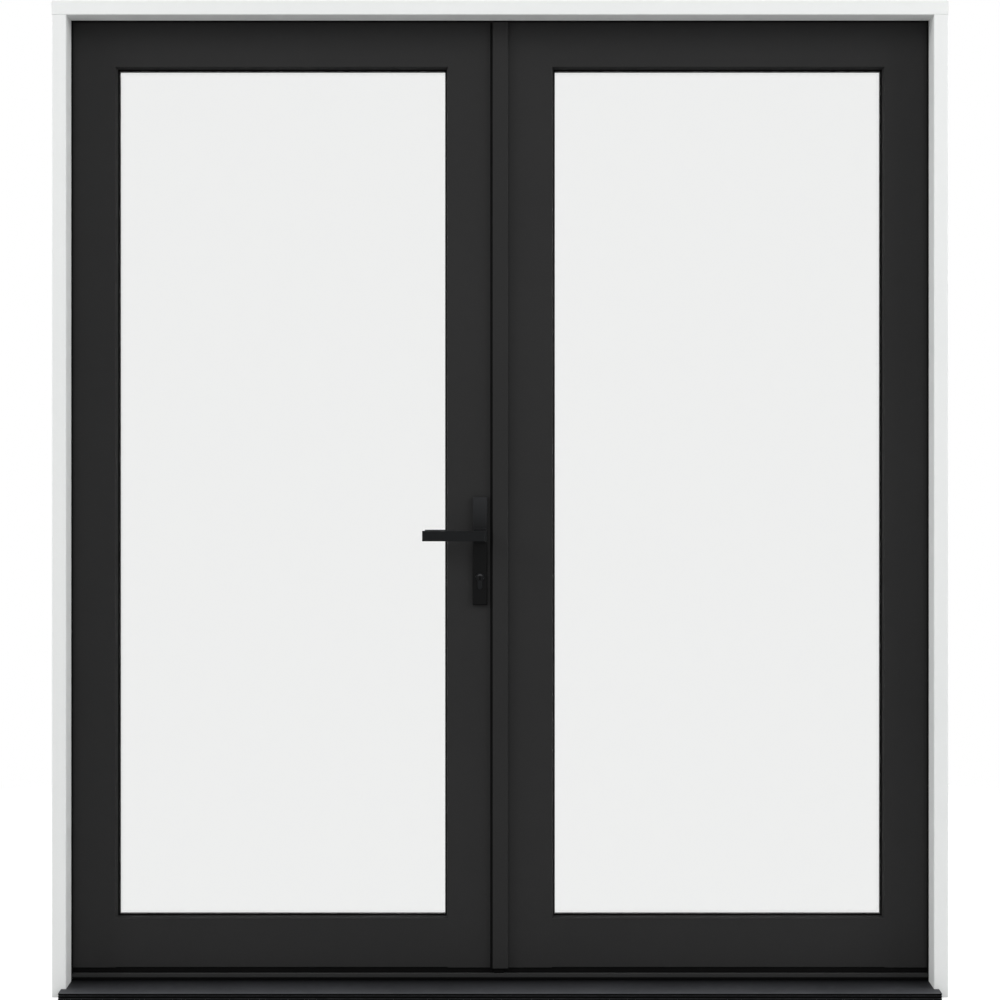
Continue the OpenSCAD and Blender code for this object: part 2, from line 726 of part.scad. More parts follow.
// The follower turns in the lock box; its crank pin stands in the slot of the latch's tail
module latch_follower() color(steel) {
    s = spindle_s / 2 + 0.1;
    difference() {
        union() {
            rod_y(lever_x, lever_z, hub_r, lock_y0 - 0.5, lock_y0 + lock_t + 0.5);
            box(lever_x - 3, lever_x + 3, arm_y0, arm_y0 + 3, lever_z, lever_z + latch_crank);
            rod_y(lever_x, lever_z + latch_crank, 4, arm_y0, arm_y0 + 3);
            rod_y(lever_x, lever_z + latch_crank, crank_r, tail_y0 - 0.5, arm_y0 + 3);
        }
        box(lever_x - s, lever_x + s, lock_y0 - 2, lock_y0 + lock_t + 2, lever_z - s, lever_z + s);
    }
}

module latch_bolt() color(steel) {
    xt = -meet_x - 12;
    translate([0, 0, latch_z0]) linear_extrude(latch_z1 - latch_z0) polygon([[xt, latch_y0],
        [latch_tip - 8, latch_y0], [latch_tip, latch_y1 - 3], [latch_tip, latch_y1], [xt, latch_y1]]);
    difference() {
        box(lever_x - 7, xt + 1, tail_y0, tail_y0 + tail_t, latch_z0 + 1, latch_z0 + 15.5);
        box(lever_x - crank_r - 1, lever_x + crank_r + 1, tail_y0 - 1, tail_y0 + tail_t + 1, latch_z0,
            lever_z + latch_crank + crank_r + 1);
    }
}

module key_cylinder() color(black) difference() {
    gap0 = mid_y - 5;
    cylinder_shape(0, cyl_y0, cyl_y1);
    box(lever_x - 12, lever_x + 12, gap0, gap0 + 10, cylinder_z - 12, cylinder_z + 12);
    rod_y(lever_x, cylinder_z, 3 + run_gap, gap0 + 9, cyl_y1 + 1);
    box(lever_x - 1.2, lever_x + 1.2, cyl_y0 - 1, cyl_y0 + 22, cylinder_z - 6.5, cylinder_z + 3);
    difference() {
        rod_y(lever_x, cylinder_z, 6.9, cyl_y0 - 1, cyl_y0 + 0.6);
        rod_y(lever_x, cylinder_z, 6.4, cyl_y0 - 2, cyl_y0 + 1);
    }
}

// The thumb turn's shaft goes to the middle of the cylinder, where its crank pin throws the deadbolt
module thumb_turn() color(black) {
    y0 = cyl_y1 + slide_gap;
    rod_y(lever_x, cylinder_z, 3, arm_y0, y0 + 1);
    rod_y(lever_x, cylinder_z, 9, y0, y0 + 3);
    along_y(y0 + 2, y0 + 15) translate([lever_x, cylinder_z]) polygon(concat(
        arc([0, 9], 4, 0, 180, 8), arc([0, -9], 4, 180, 360, 8)));
    translate([lever_x, 0, cylinder_z]) rotate([0, -45, 0]) {
        translate([-2.8, arm_y0, 0]) cube([5.6, 2.5, bolt_crank]);
        translate([0, arm_y0 + 2.5, bolt_crank]) rotate([90, 0, 0]) cylinder(r = 3.5, h = 2.5);
        translate([0, arm_y0 + 2.5, bolt_crank]) rotate([90, 0, 0])
            cylinder(r = crank_r, h = arm_y0 + 2.5 - tail_y0 + 0.5);
    }
}

module deadbolt() color(steel) {
    z1 = cylinder_z + bolt_crank + crank_r + 1;
    box(lever_x + 1, bolt_tip, bolt_y0, bolt_y1, bolt_z0, bolt_z1);
    difference() {
        box(bolt_slot_x - 7, lever_x + 2, tail_y0, tail_y0 + tail_t, cylinder_z + 7, bolt_z1);
        box(bolt_slot_x - crank_r - 1, bolt_slot_x + crank_r + 1, tail_y0 - 1, tail_y0 + tail_t + 1,
            cylinder_z, z1);
    }
}

module passive_hinge_stile() color(charcoal) on_right() plain_hinge_stile();

strike_z0 = bolt_z0 - 20;
strike_z1 = latch_z1 + 20;
strike_t = 2;

// Bore, slider pocket and plate recess of one flush bolt, from its tip inwards
module flush_cuts(z_end, s) {
    z0 = s > 0 ? z_end - flush_len - 4 : z_end;
    translate([flush_x, flush_y, z0]) cylinder(r = flush_r + slide_gap, h = flush_len + 4);
    zc = z_end - s * (flush_plate_z + 3);
    box(0, flush_x, flush_y - 4 - slide_gap, flush_y + 4 + slide_gap, zc - 34, zc + 34);
    box(0, meet_x + 2.5, flush_y - 10, flush_y + 10, zc - 55, zc + 55);
}

module passive_meeting_stile() color(charcoal) difference() {
    on_right() blank_meet_stile();
    box(0, meet_x + strike_t, mid_y - faceplate_w / 2, mid_y + faceplate_w / 2, strike_z0, strike_z1);
    latch_opening(strike_gap, 0, latch_tip + 5);
    bolt_opening(strike_gap, 0, bolt_tip + bolt_travel + 5);
    flush_cuts(panel_z1 + 1, 1);
    flush_cuts(panel_z0 - 1, -1);
}

module passive_top_rail() color(charcoal) on_right() plain_top_rail();

module passive_bottom_rail() color(charcoal) on_right() plain_bottom_rail();

module passive_outer_pane() color(clear) on_right() pane(glass_y);

module passive_inner_pane() color(clear) on_right() pane(glass_y + pane_t + pane_space);

module passive_spacer() color(black) on_right() plain_spacer();

module passive_glazing_beads() color(charcoal) on_right() plain_beads();

module passive_gasket() color(black) on_right() plain_gasket();

module passive_sweep() color(black) on_right() plain_sweep();

astragal_y0 = panel_y - astragal_out;
astragal_back = astragal_y0 + astragal_t;
astragal_z1 = head_stop_z - seal_lip - slide_gap - 0.1;

// The astragal lies on the passive panel's face and laps over the active panel
module astragal() color(charcoal) {
    e = 1.2;
    translate([0, 0, panel_z0]) linear_extrude(astragal_z1 - panel_z0) polygon(concat(
        arc([-astragal_left + e, astragal_y0 + e], e, 180, 270),
        arc([astragal_right - 2, astragal_y0 + 2], 2, 270, 360),
        [[astragal_right, panel_y], [meet_x, panel_y], [meet_x, astragal_back],
            [-6, astragal_back], [-6, astragal_back - 2], [-9, astragal_back - 2], [-9, astragal_back],
            [-astragal_left, astragal_back]]));
}

// The astragal's seal, with a foot that closes the gap between the two sweeps
module astragal_seal() color(black) {
    front = panel_y - slide_gap;
    x0 = -astragal_left - astragal_lip;
    box(-12, meet_x + 6, astragal_back, front, threshold_h + slide_gap, panel_z0);
    translate([0, 0, panel_z0 - 2]) linear_extrude(astragal_z1 - panel_z0 + 2) polygon(concat(
        [[-6.2, astragal_back], [-6.2, astragal_back - 1.8], [-8.8, astragal_back - 1.8],
            [-8.8, astragal_back], [-astragal_left, astragal_back]],
        arc([x0 + 1.4, front - 1.5], 1.4, 270, 100),
        arc([-6.4, front - 1.5], 1.5, 90, 0)));
}

module strike_plate() color(steel) difference() {
    box(meet_x, meet_x + strike_t, mid_y - faceplate_w / 2, mid_y + faceplate_w / 2, strike_z0, strike_z1);
    latch_opening(strike_gap, 0, meet_x + strike_t + 1);
    bolt_opening(strike_gap, 0, meet_x + strike_t + 1);
    edge_holes(meet_x, strike_t, -1, mid_y, strike_z0 + 9, strike_z1 - 9);
}

module flush_plate(z_end, s) difference() {
    zc = z_end - s * (flush_plate_z + 3);
    box(meet_x, meet_x + 2.5, flush_y - 10, flush_y + 10, zc - 55, zc + 55);
    box(0, meet_x + 4, flush_y - 4 - slide_gap, flush_y + 4 + slide_gap, zc - 32, zc + 32);
    edge_holes(meet_x, 2.5, -1, flush_y, zc - 44, zc + 44);
}

module flush_bolt_plates() color(steel) {
    flush_plate(panel_z1 + 1, 1);
    flush_plate(panel_z0 - 1, -1);
}

// A flush bolt: a round bolt with a thumb piece that ends level with its plate
module flush_bolt(z_tip, s) {
    zt = z_tip - s * (flush_plate_z + 12);
    difference() {
        translate([flush_x, flush_y, s > 0 ? z_tip - flush_len : z_tip]) cylinder(r = flush_r, h = flush_len);
        translate([flush_x, flush_y, z_tip]) rotate([0, 0, 45]) translate([-20, flush_r - 1.5, -3])
            rotate([s * 45, 0, 0]) cube([40, 8, 8], center = false);
    }
    difference() {
        box(meet_x + 0.5, flush_x, flush_y - 4, flush_y + 4, zt - 8, zt + 8);
        for (k = [-4, 0, 4]) box(meet_x, meet_x + 1.3, flush_y - 5, flush_y + 5, zt + k - 0.8, zt + k + 0.8);
    }
}

module top_flush_bolt() color(steel) flush_bolt(flush_top_z, 1);

module bottom_flush_bolt() color(steel) flush_bolt(flush_low_z, -1);

head_jamb();
left_jamb();
right_jamb();
sill();
threshold();
head_seal();
left_seal();
right_seal();
left_top_frame_leaf();
left_mid_frame_leaf();
left_low_frame_leaf();
right_top_frame_leaf();
right_mid_frame_leaf();
right_low_frame_leaf();
left_hinge_pins();
right_hinge_pins();
active_hinge_stile();
active_lock_stile();
active_top_rail();
active_bottom_rail();
active_outer_pane();
active_inner_pane();
active_spacer();
active_glazing_beads();
active_gasket();
active_sweep();
left_top_panel_leaf();
left_mid_panel_leaf();
left_low_panel_leaf();
lock_faceplate();
lock_box();
exterior_plate();
interior_plate();
key_cylinder();
exterior_lever();
interior_lever();
spindle();
latch_follower();
latch_bolt();
thumb_turn();
deadbolt();
passive_hinge_stile();
passive_meeting_stile();
passive_top_rail();
passive_bottom_rail();
passive_outer_pane();
passive_inner_pane();
passive_spacer();
passive_glazing_beads();
passive_gasket();
passive_sweep();
right_top_panel_leaf();
right_mid_panel_leaf();
right_low_panel_leaf();
astragal();
astragal_seal();
strike_plate();
flush_bolt_plates();
top_flush_bolt();
bottom_flush_bolt();
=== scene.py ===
import json
import math

import bpy
from mathutils import Matrix, Vector


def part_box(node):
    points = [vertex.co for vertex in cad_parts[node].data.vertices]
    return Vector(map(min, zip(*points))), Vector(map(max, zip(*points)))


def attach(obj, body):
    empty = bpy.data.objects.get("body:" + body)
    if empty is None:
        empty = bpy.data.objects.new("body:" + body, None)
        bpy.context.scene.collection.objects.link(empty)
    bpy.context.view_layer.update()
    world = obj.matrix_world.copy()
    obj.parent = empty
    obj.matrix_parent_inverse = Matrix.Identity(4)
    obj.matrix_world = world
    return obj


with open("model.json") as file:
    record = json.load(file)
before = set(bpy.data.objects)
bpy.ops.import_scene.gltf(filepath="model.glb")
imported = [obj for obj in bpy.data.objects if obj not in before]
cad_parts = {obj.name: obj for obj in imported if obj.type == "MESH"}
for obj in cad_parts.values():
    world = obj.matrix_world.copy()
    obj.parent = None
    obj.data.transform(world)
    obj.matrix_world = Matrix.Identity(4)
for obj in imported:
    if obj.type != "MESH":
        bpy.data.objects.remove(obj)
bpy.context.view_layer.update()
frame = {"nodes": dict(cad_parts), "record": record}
nodes = frame["nodes"]
scene = bpy.context.scene
scene.view_settings.view_transform = "Standard"

# Sockets of a colour Mix node
MIX_FACTOR = 0
MIX_FIRST = 6
MIX_SECOND = 7
MIX_COLOUR = 2

WHITE = (1, 1, 1, 1)


# Camera: in front of the middle of the doors, as in the photograph
def place_camera():
    data = bpy.data.cameras.new("front_camera")
    data.sensor_width = 36
    data.lens = 72.84
    camera = bpy.data.objects.new("front_camera", data)
    camera.location = (0, -4.155, 1.0072)
    camera.rotation_euler = (math.radians(90), 0, 0)
    scene.collection.objects.link(camera)
    scene.camera = camera


# Small helpers for shader nodes
def new_group(name, inputs, outputs):
    group = bpy.data.node_groups.new(name, "ShaderNodeTree")
    for label, value in inputs.items():
        socket = group.interface.new_socket(label, in_out="INPUT", socket_type="NodeSocketFloat")
        socket.default_value = value
    for label in outputs:
        group.interface.new_socket(label, in_out="OUTPUT", socket_type="NodeSocketFloat")
    return group


def node_at(tree, kind, x, y, **settings):
    node = tree.nodes.new(kind)
    node.location = (x, y)
    for key, value in settings.items():
        setattr(node, key, value)
    return node


def noise_node(tree, x, y, detail):
    node = node_at(tree, "ShaderNodeTexNoise", x, y)
    node.inputs["Detail"].default_value = detail
    return node


def range_node(tree, x, y, low, high, span=(0.3, 0.7)):
    node = node_at(tree, "ShaderNodeMapRange", x, y)
    node.inputs["From Min"].default_value = span[0]
    node.inputs["From Max"].default_value = span[1]
    node.inputs["To Min"].default_value = low
    node.inputs["To Max"].default_value = high
    return node


def mixed_colour(tree, x, y, first, second):
    node = node_at(tree, "ShaderNodeMix", x, y, data_type="RGBA")
    node.inputs[MIX_FIRST].default_value = (*first, 1)
    node.inputs[MIX_SECOND].default_value = (*second, 1)
    return node


# Sprayed paint: a faint orange peel, and slow drifts in tone and gloss
def sprayed_paint_group():
    group = new_group(
        "sprayed_paint", {"Peel Scale": 900.0, "Drift Scale": 2.5}, ("Height", "Tone", "Gloss")
    )
    start = node_at(group, "NodeGroupInput", -900, 0)
    end = node_at(group, "NodeGroupOutput", 500, 0)
    place = node_at(group, "ShaderNodeTexCoord", -900, -250)
    peel = noise_node(group, -500, 250, 2.0)
    drift = noise_node(group, -500, -50, 3.0)
    speck = noise_node(group, -500, -350, 4.0)
    speck.inputs["Scale"].default_value = 38.0
    link = group.links.new
    for noise in (peel, drift, speck):
        link(place.outputs["Object"], noise.inputs["Vector"])
    link(start.outputs["Peel Scale"], peel.inputs["Scale"])
    link(start.outputs["Drift Scale"], drift.inputs["Scale"])
    link(peel.outputs["Fac"], end.inputs["Height"])
    link(drift.outputs["Fac"], end.inputs["Tone"])
    link(speck.outputs["Fac"], end.inputs["Gloss"])
    return group


# Drawn metal: fine lines along one axis of the piece
def drawn_lines_group():
    group = new_group("drawn_lines", {"Along X": 4.0, "Along Y": 900.0, "Along Z": 900.0}, ("Lines",))
    start = node_at(group, "NodeGroupInput", -900, 0)
    end = node_at(group, "NodeGroupOutput", 300, 0)
    place = node_at(group, "ShaderNodeTexCoord", -900, -250)
    stretch = node_at(group, "ShaderNodeCombineXYZ", -700, 0)
    scaled = node_at(group, "ShaderNodeVectorMath", -450, 0, operation="MULTIPLY")
    lines = noise_node(group, -200, 0, 3.0)
    lines.inputs["Scale"].default_value = 1.0
    link = group.links.new
    for axis in "XYZ":
        link(start.outputs[f"Along {axis}"], stretch.inputs[axis])
    link(place.outputs["Object"], scaled.inputs[0])
    link(stretch.outputs["Vector"], scaled.inputs[1])
    link(scaled.outputs["Vector"], lines.inputs["Vector"])
    link(lines.outputs["Fac"], end.inputs["Lines"])
    return group


# Dust and painted light: a paler film on faces that look up, growing from one place along Y to another
# and broken up by noise; its growth along Y is painted shade and painted highlight
def dust_and_painted_light_group():
    group = new_group(
        "dust_and_painted_light",
        {"Amount": 0.6, "Patch Scale": 7.0, "Dark Y": 0.0, "Pale Y": -0.1},
        ("Film",),
    )
    start = node_at(group, "NodeGroupInput", -900, 0)
    end = node_at(group, "NodeGroupOutput", 500, 0)
    shape = node_at(group, "ShaderNodeNewGeometry", -900, -250)
    split = node_at(group, "ShaderNodeSeparateXYZ", -700, -250)
    up = range_node(group, -500, -250, 0, 1, (0.35, 0.9))
    place = node_at(group, "ShaderNodeTexCoord", -900, 250)
    patch = noise_node(group, -500, 250, 5.0)
    uneven = range_node(group, -300, 250, 0.8, 1.0)
    apart = node_at(group, "ShaderNodeSeparateXYZ", -500, 500)
    pale_along_y = range_node(group, -300, 500, 0, 1)
    pale_share = node_at(group, "ShaderNodeMath", -100, 350, operation="MULTIPLY")
    film = node_at(group, "ShaderNodeMath", -100, 0, operation="MULTIPLY")
    whole = node_at(group, "ShaderNodeMath", 150, 0, operation="MULTIPLY")
    link = group.links.new
    link(shape.outputs["Normal"], split.inputs["Vector"])
    link(split.outputs["Z"], up.inputs["Value"])
    link(place.outputs["Object"], patch.inputs["Vector"])
    link(start.outputs["Patch Scale"], patch.inputs["Scale"])
    link(patch.outputs["Fac"], uneven.inputs["Value"])
    link(place.outputs["Object"], apart.inputs["Vector"])
    # Painted shade and highlight: the film grows along Y from the dark place to the pale one
    link(apart.outputs["Y"], pale_along_y.inputs["Value"])
    link(start.outputs["Dark Y"], pale_along_y.inputs["From Min"])
    link(start.outputs["Pale Y"], pale_along_y.inputs["From Max"])
    link(pale_along_y.outputs["Result"], pale_share.inputs[0])
    link(uneven.outputs["Result"], pale_share.inputs[1])
    link(up.outputs["Result"], film.inputs[0])
    link(pale_share.outputs["Value"], film.inputs[1])
    link(film.outputs["Value"], whole.inputs[0])
    link(start.outputs["Amount"], whole.inputs[1])
    link(whole.outputs["Value"], end.inputs["Film"])
    return group


PAINT = sprayed_paint_group()
DUST_AND_LIGHT = dust_and_painted_light_group()
DRAWN = drawn_lines_group()


def new_material(name):
    material = bpy.data.materials.new(name)
    material.use_nodes = True
    return material, material.node_tree, material.node_tree.nodes["Principled BSDF"]


def bump_node(tree, height, strength):
    bump = node_at(tree, "ShaderNodeBump", -400, -320)
    bump.inputs["Distance"].default_value = height
    bump.inputs["Strength"].default_value = strength
    return bump


# A painted finish: two close tones, a gloss range and the height of its orange peel in metres
def painted(name, first, second, gloss, peel_scale, peel_height, specular, drift=2.5):
    material, tree, shader = new_material(name)
    shader.inputs["Specular IOR Level"].default_value = specular
    paint = node_at(tree, "ShaderNodeGroup", -900, 0)
    paint.node_tree = PAINT
    paint.inputs["Peel Scale"].default_value = peel_scale
    paint.inputs["Drift Scale"].default_value = drift
    tone = range_node(tree, -650, 200, 0, 1)
    colour = mixed_colour(tree, -400, 200, first, second)
    rough = range_node(tree, -400, -50, gloss[0], gloss[1])
    bump = bump_node(tree, peel_height, 0.6)
    link = tree.links.new
    link(paint.outputs["Tone"], tone.inputs["Value"])
    link(tone.outputs["Result"], colour.inputs[MIX_FACTOR])
    link(colour.outputs[MIX_COLOUR], shader.inputs["Base Color"])
    link(paint.outputs["Gloss"], rough.inputs["Value"])
    link(rough.outputs["Result"], shader.inputs["Roughness"])
    link(paint.outputs["Height"], bump.inputs["Height"])
    link(bump.outputs["Normal"], shader.inputs["Normal"])
    return material


# A drawn metal finish: two close tones, a gloss range and the stretch of its lines along each axis
def drawn_metal(name, first, second, gloss, stretch, line_height):
    material, tree, shader = new_material(name)
    shader.inputs["Metallic"].default_value = 1.0
    lines = node_at(tree, "ShaderNodeGroup", -900, 0)
    lines.node_tree = DRAWN
    for axis, value in zip("XYZ", stretch):
        lines.inputs[f"Along {axis}"].default_value = value
    colour = mixed_colour(tree, -400, 200, first, second)
    rough = range_node(tree, -400, -50, gloss[0], gloss[1])
    bump = bump_node(tree, line_height, 0.5)
    link = tree.links.new
    link(lines.outputs["Lines"], colour.inputs[MIX_FACTOR])
    link(colour.outputs[MIX_COLOUR], shader.inputs["Base Color"])
    link(lines.outputs["Lines"], rough.inputs["Value"])
    link(rough.outputs["Result"], shader.inputs["Roughness"])
    link(lines.outputs["Lines"], bump.inputs["Height"])
    link(bump.outputs["Normal"], shader.inputs["Normal"])
    return material


# Another colour laid over a material's own, where the mask says
def laid_over(tree, mask, colour, x, y):
    shader = tree.nodes["Principled BSDF"]
    below = shader.inputs["Base Color"].links[0].from_socket
    over = node_at(tree, "ShaderNodeMix", x, y, data_type="RGBA")
    over.inputs[MIX_SECOND].default_value = (*colour, 1)
    tree.links.new(mask, over.inputs[MIX_FACTOR])
    tree.links.new(below, over.inputs[MIX_FIRST])
    tree.links.new(over.outputs[MIX_COLOUR], shader.inputs["Base Color"])


# A paler film over a material, dust with painted shade and highlights: its colour, how much lies on
# faces that look up, and where along Y it goes from dark to pale
def add_dust_and_painted_light(material, colour, amount, dark_y, pale_y):
    tree = material.node_tree
    film_node = node_at(tree, "ShaderNodeGroup", -400, 480)
    film_node.node_tree = DUST_AND_LIGHT
    film_node.inputs["Amount"].default_value = amount
    film_node.inputs["Dark Y"].default_value = dark_y
    film_node.inputs["Pale Y"].default_value = pale_y
    laid_over(tree, film_node.outputs["Film"], colour, -150, 300)


# Painted light and shade over a material: another tone, coming in from one height to another
def add_painted_light_by_height(material, start_z, end_z, colour, strength):
    tree = material.node_tree
    place = node_at(tree, "ShaderNodeTexCoord", -700, 800)
    split = node_at(tree, "ShaderNodeSeparateXYZ", -500, 800)
    along = range_node(tree, -300, 800, 0, strength, (start_z, end_z))
    tree.links.new(place.outputs["Object"], split.inputs["Vector"])
    tree.links.new(split.outputs["Z"], along.inputs["Value"])
    laid_over(tree, along.outputs["Result"], colour, -100, 600)


def clear_glass():
    material, tree, shader = new_material("clear_glass")
    shader.inputs["Base Color"].default_value = (0.921, 0.924, 0.922, 1)
    shader.inputs["Roughness"].default_value = 0.0
    shader.inputs["IOR"].default_value = 1.5
    shader.inputs["Transmission Weight"].default_value = 1.0
    return material


# Finishes of the frame and the panels
white_paint = painted(
    "white_satin_paint", (0.79, 0.805, 0.80), (0.81, 0.822, 0.817), gloss=(0.36, 0.46),
    peel_scale=700, peel_height=0.00004, specular=0.25,
)
charcoal_paint = painted(
    "charcoal_satin_paint", (0.0258, 0.0258, 0.0259), (0.0280, 0.0280, 0.0281), gloss=(0.62, 0.74),
    peel_scale=800, peel_height=0.00005, specular=0.05,
)
astragal_paint = painted(
    "astragal_satin_paint", (0.0240, 0.0240, 0.0241), (0.0262, 0.0262, 0.0263), gloss=(0.40, 0.50),
    peel_scale=900, peel_height=0.00004, specular=0.05,
)
rubber = painted(
    "black_seal_rubber", (0.003, 0.003, 0.003), (0.0045, 0.0045, 0.0045), gloss=(0.65, 0.8),
    peel_scale=2200, peel_height=0.00008, specular=0.04,
)
spacer_black = painted(
    "black_spacer_bar", (0.006, 0.006, 0.006), (0.008, 0.008, 0.008), gloss=(0.5, 0.6),
    peel_scale=1500, peel_height=0.00003, specular=0.1,
)

# The sill is black with a film of dust on its top, greyer towards its front: the darker back by the
# door is painted shade, and the palest line along the nosing is a painted highlight
sill_finish = painted(
    "black_sill_coating", (0.0022, 0.0023, 0.0025), (0.0034, 0.0035, 0.0038), gloss=(0.36, 0.46),
    peel_scale=1600, peel_height=0.00003, specular=0.03, drift=6.0,
)
# Dust film with painted shade: darker at the back by the door, paler towards the front
add_dust_and_painted_light(sill_finish, (0.065, 0.067, 0.073), amount=1.0, dark_y=0.002, pale_y=-0.080)
# Painted highlight along the front edge of the nosing
add_dust_and_painted_light(sill_finish, (0.092, 0.094, 0.099), amount=0.8, dark_y=-0.0825, pale_y=-0.0855)

# The threshold's lip is grey; the black at its foot, under the lip, is painted shade
threshold_finish = painted(
    "threshold_coating", (0.0295, 0.0298, 0.0298), (0.0325, 0.0328, 0.0328), gloss=(0.40, 0.5),
    peel_scale=1600, peel_height=0.00006, specular=0.08, drift=6.0,
)
# Painted shade: black at the threshold's foot, under its lip
add_painted_light_by_height(threshold_finish, 0.0295, 0.027, (0.003, 0.003, 0.003), strength=0.9)

# Finishes of the hardware; the handle plates are greyer towards their tops, a painted reflection, and
# dark low down, painted shade under the lever
handle_black = painted(
    "handle_black_coating", (0.0045, 0.005, 0.0056), (0.006, 0.0066, 0.0072), gloss=(0.28, 0.38),
    peel_scale=1900, peel_height=0.00004, specular=0.11, drift=9.0,
)
plate_black = painted(
    "plate_black_coating", (0.0008, 0.0009, 0.001), (0.0014, 0.0015, 0.0016), gloss=(0.30, 0.40),
    peel_scale=1900, peel_height=0.00004, specular=0.10, drift=9.0,
)
# Painted reflection and shade: the plates greyer towards their tops, darker below
add_painted_light_by_height(plate_black, 0.915, 1.014, (0.0215, 0.0222, 0.0238), strength=1.0)
hinge_black = painted(
    "hinge_black_coating", (0.012, 0.012, 0.0125), (0.016, 0.016, 0.0165), gloss=(0.34, 0.46),
    peel_scale=1700, peel_height=0.00004, specular=0.4, drift=9.0,
)
brushed_steel = drawn_metal(
    "brushed_lock_steel", (0.50, 0.50, 0.51), (0.60, 0.60, 0.61), gloss=(0.26, 0.42),
    stretch=(900, 900, 6), line_height=0.00003,
)
plug_nickel = drawn_metal(
    "dark_plug_nickel", (0.050, 0.050, 0.052), (0.066, 0.066, 0.068), gloss=(0.24, 0.36),
    stretch=(5, 900, 900), line_height=0.00002,
)
# Painted shade: the key plug's face goes dark below its top, so only the top glints
add_painted_light_by_height(plug_nickel, 0.8535, 0.8505, (0.012, 0.012, 0.0125), strength=1.0)

FINISH_OF_SLOT = {
    "frame_white": white_paint,
    "panel_charcoal": charcoal_paint,
    "astragal_charcoal": astragal_paint,
    "sill_black": sill_finish,
    "seal_black": rubber,
    "glass": clear_glass(),
    "spacer_black": spacer_black,
    "hinge_black": hinge_black,
    "handle_black": handle_black,
    "lock_steel": brushed_steel,
}
FINISH_OF_NODE = {
    "threshold": threshold_finish,
    "exterior_plate": plate_black,
    "interior_plate": plate_black,
}


def finish_nodes():
    slot_of = {s["node"]: s["material_slot"] for s in frame["record"]["subparts"]}
    for name, node in nodes.items():
        finish = FINISH_OF_NODE.get(name, FINISH_OF_SLOT[slot_of[name]])
        node.data.materials.clear()
        node.data.materials.append(finish)


# Small roundings on the edges of the hardware, where light catches, with their widths in metres
ROUNDING = {
    "exterior_lever": 0.0003,
    "interior_lever": 0.0003,
    "thumb_turn": 0.0008,
    "key_cylinder": 0.0003,
    "lock_faceplate": 0.0004,
    "strike_plate": 0.0003,
    "latch_bolt": 0.0005,
    "deadbolt": 0.0005,
    "flush_bolt_plates": 0.0004,
}


def soften_edges():
    for name, width in ROUNDING.items():
        node = nodes[name]
        weld = node.modifiers.new("weld", "WELD")
        weld.merge_threshold = 0.00001
        flat = node.modifiers.new("whole_flats", "DECIMATE")
        flat.decimate_type = "DISSOLVE"
        flat.angle_limit = math.radians(0.5)
        bevel = node.modifiers.new("soft_edges", "BEVEL")
        bevel.width = width
        bevel.segments = 3
        bevel.limit_method = "ANGLE"
        bevel.angle_limit = math.radians(32)
        bevel.harden_normals = True


# Cuts one shape out of another, rounds the rims that are left and drops the cutting shape
def cut_and_soften(piece, cutter, rim_width, cutter_overlaps=False):
    bpy.ops.object.select_all(action="DESELECT")
    bpy.context.view_layer.objects.active = piece
    piece.select_set(True)
    cut = piece.modifiers.new("recess", "BOOLEAN")
    cut.object = cutter
    cut.operation = "DIFFERENCE"
    cut.use_self = cutter_overlaps
    soft = piece.modifiers.new("soft_rim", "BEVEL")
    soft.width = rim_width
    soft.segments = 2
    soft.limit_method = "ANGLE"
    bpy.ops.object.modifier_apply(modifier="recess")
    bpy.ops.object.modifier_apply(modifier="soft_rim")
    bpy.ops.object.shade_smooth_by_angle(angle=math.radians(30))
    bpy.data.objects.remove(cutter)


# A block at its size and place
def block(place, size):
    bpy.ops.mesh.primitive_cube_add(size=1, location=place)
    made = bpy.context.object
    made.scale = size
    bpy.ops.object.transform_apply(location=True, scale=True)
    return made


# One countersunk screw, head up along Z at the origin, with a cross recess
def countersunk_screw(radius, depth):
    recess_length = radius * 1.15
    recess_width = radius * 0.24
    recess_depth = depth * 0.9
    bpy.ops.object.select_all(action="DESELECT")
    bpy.ops.mesh.primitive_cone_add(
        vertices=32, radius1=radius * 0.5, radius2=radius, depth=depth, location=(0, 0, -depth / 2)
    )
    screw = bpy.context.object
    cross = block((0, 0, -depth * 0.1), (recess_length, recess_width, recess_depth))
    bpy.ops.object.mode_set(mode="EDIT")
    bpy.ops.mesh.select_all(action="SELECT")
    bpy.ops.mesh.duplicate()
    bpy.ops.transform.rotate(value=math.pi / 2, orient_axis="Z", center_override=(0, 0, 0))
    bpy.ops.object.mode_set(mode="OBJECT")
    cut_and_soften(screw, cross, radius * 0.06, cutter_overlaps=True)
    mesh = screw.data.copy()
    bpy.data.objects.remove(screw)
    return mesh


# Copies of the screw at its places on one body: each place is a point, the way it faces and a turn
def drive_screws(name, model, places, body, material):
    for number, (point, facing, turn) in enumerate(places):
        mesh = model.copy()
        aim = Vector((0, 0, 1)).rotation_difference(Vector(facing)).to_matrix().to_4x4()
        turned = Matrix.Rotation(math.radians(turn), 4, "Z")
        mesh.transform(Matrix.Translation(point) @ aim @ turned)
        mesh.materials.clear()
        mesh.materials.append(material)
        screw = bpy.data.objects.new(f"{name}_{number + 1}", mesh)
        scene.collection.objects.link(screw)
        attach(screw, body)


# Distance of the leaves' open faces from the middle of the doors, and the Y of their knuckle edge
LEAF_FACE = {"frame": 0.891, "panel": 0.888}
LEAF_EDGE_Y = 0.058
# Each screw's height as a share of its leaf, and its distance from the knuckle edge
LEAF_SCREWS = ((0.12, 0.010), (0.37, 0.021), (0.63, 0.021), (0.88, 0.010))
SCREW_SUNK = 0.0001


